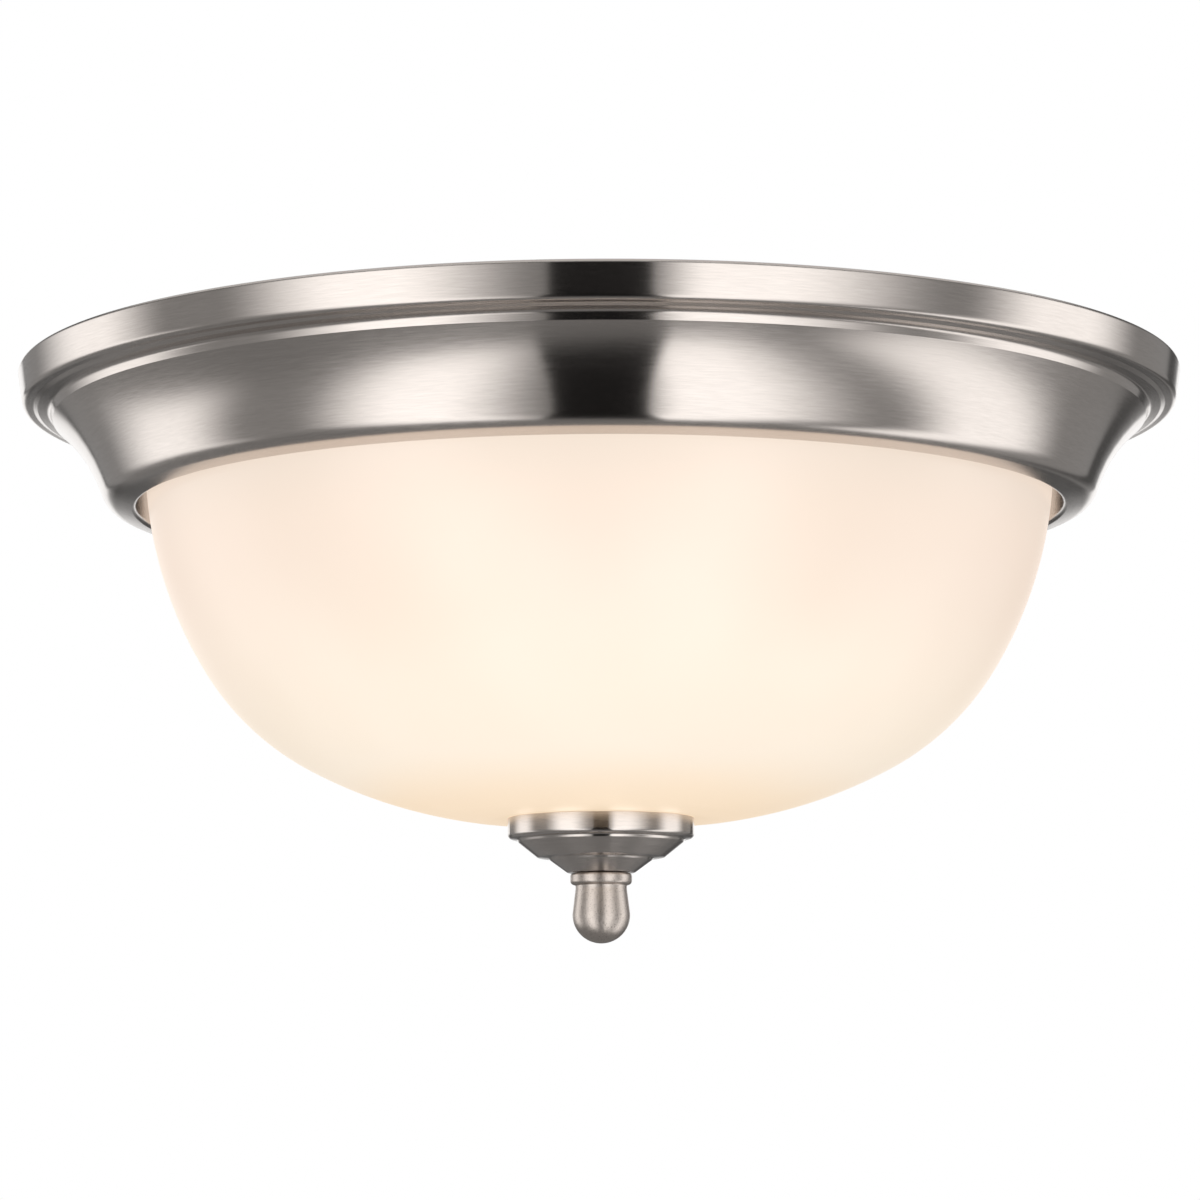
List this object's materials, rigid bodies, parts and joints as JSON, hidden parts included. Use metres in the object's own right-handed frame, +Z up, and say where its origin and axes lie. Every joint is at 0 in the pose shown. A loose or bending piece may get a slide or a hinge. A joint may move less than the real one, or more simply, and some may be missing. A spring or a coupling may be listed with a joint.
{
  "type": "flush mount ceiling light",
  "caption": "Round flush mount ceiling light: stepped brushed nickel pan with a cove, opal glass bowl, and a tiered cap and knob on a threaded centre rod.",
  "frame": {"origin": "centre of the crossbar's top face, on the pan's axis, in the ceiling plane", "axes": "+Z up into the ceiling, along the pan's axis; +X along the two lamps and the crossbar"},
  "size_m": [0.3298, 0.3298, 0.1602],
  "materials": {
    "brushed_nickel": "steel plated with nickel and brushed around its axis, satin",
    "cast_nickel": "cast zinc alloy with the same satin nickel plate",
    "opal_glass": "white opal glass, acid etched on the outside, satin",
    "zinc_steel": "zinc plated steel",
    "green_screw": "steel, dyed green",
    "insulation": "glass fibre mat, matt",
    "porcelain": "white glazed porcelain",
    "shell_metal": "rolled aluminium",
    "contact_brass": "spring brass",
    "bulb_glass": "inside frosted soda glass",
    "clear_glass": "clear soda glass",
    "black_glass": "black vitreous insulator",
    "solder": "solder, dull",
    "tungsten": "tungsten wire",
    "black_lead": "black wire insulation",
    "white_lead": "white wire insulation",
    "green_lead": "green wire insulation",
    "connector_plastic": "moulded orange plastic",
    "bushing_nylon": "black nylon",
    "gasket_rubber": "soft black rubber"
  },
  "bodies": {
    "root": {"pan": "brushed_nickel", "insulation_pad": "insulation", "crossbar": "zinc_steel", "mounting_screws": "zinc_steel", "ground_screw": "green_screw", "bond_screw": "zinc_steel", "bond_terminal": "contact_brass", "ground_lead": "green_lead", "centre_rod": "zinc_steel", "rod_nuts": "zinc_steel", "rod_washer": "zinc_steel", "bracket_screws": "zinc_steel", "socket_bracket_a": "zinc_steel", "socket_bracket_b": "zinc_steel", "socket_body_a": "porcelain", "socket_body_b": "porcelain", "socket_shell_a": "shell_metal", "socket_shell_b": "shell_metal", "centre_contact_a": "contact_brass", "centre_contact_b": "contact_brass", "socket_rivets": "shell_metal", "wire_bushing": "bushing_nylon", "wire_connectors": "connector_plastic", "lead_black_a": "black_lead", "lead_white_a": "white_lead", "lead_black_b": "black_lead", "lead_white_b": "white_lead"},
    "bulb_a": {"bulb_tip_a": "solder", "bulb_insulator_a": "black_glass", "bulb_base_a": "shell_metal", "bulb_envelope_a": "bulb_glass", "bulb_stem_a": "clear_glass", "bulb_filament_a": "tungsten"},
    "bulb_b": {"bulb_tip_b": "solder", "bulb_insulator_b": "black_glass", "bulb_base_b": "shell_metal", "bulb_envelope_b": "bulb_glass", "bulb_stem_b": "clear_glass", "bulb_filament_b": "tungsten"},
    "shade": {"glass_bowl": "opal_glass"},
    "cup": {"finial_cup": "brushed_nickel", "cup_gasket": "gasket_rubber"},
    "knob": {"finial_knob": "cast_nickel"}
  },
  "joints": [
    {"name": "shade_lower", "type": "slide", "parent": "root", "child": "shade", "axis": [0, 0, -1], "range_m": [0, 0.16]},
    {"name": "cup_lower", "type": "slide", "parent": "shade", "child": "cup", "axis": [0, 0, -1], "range_m": [0, 0.01]},
    {"name": "knob_turn", "type": "hinge", "parent": "cup", "child": "knob", "pos_m": [0, 0, -0.15], "axis": [0, 0, -1], "range_deg": [0, 3606]},
    {"name": "bulb_a_out", "type": "slide", "parent": "root", "child": "bulb_a", "axis": [1, 0, 0], "range_m": [0, 0.024]},
    {"name": "bulb_b_out", "type": "slide", "parent": "root", "child": "bulb_b", "axis": [-1, 0, 0], "range_m": [0, 0.024]}
  ],
  "couplings": [
    {"joint": "knob_turn", "follows": "cup_lower", "rad_per_m": 6283.2}
  ]
}
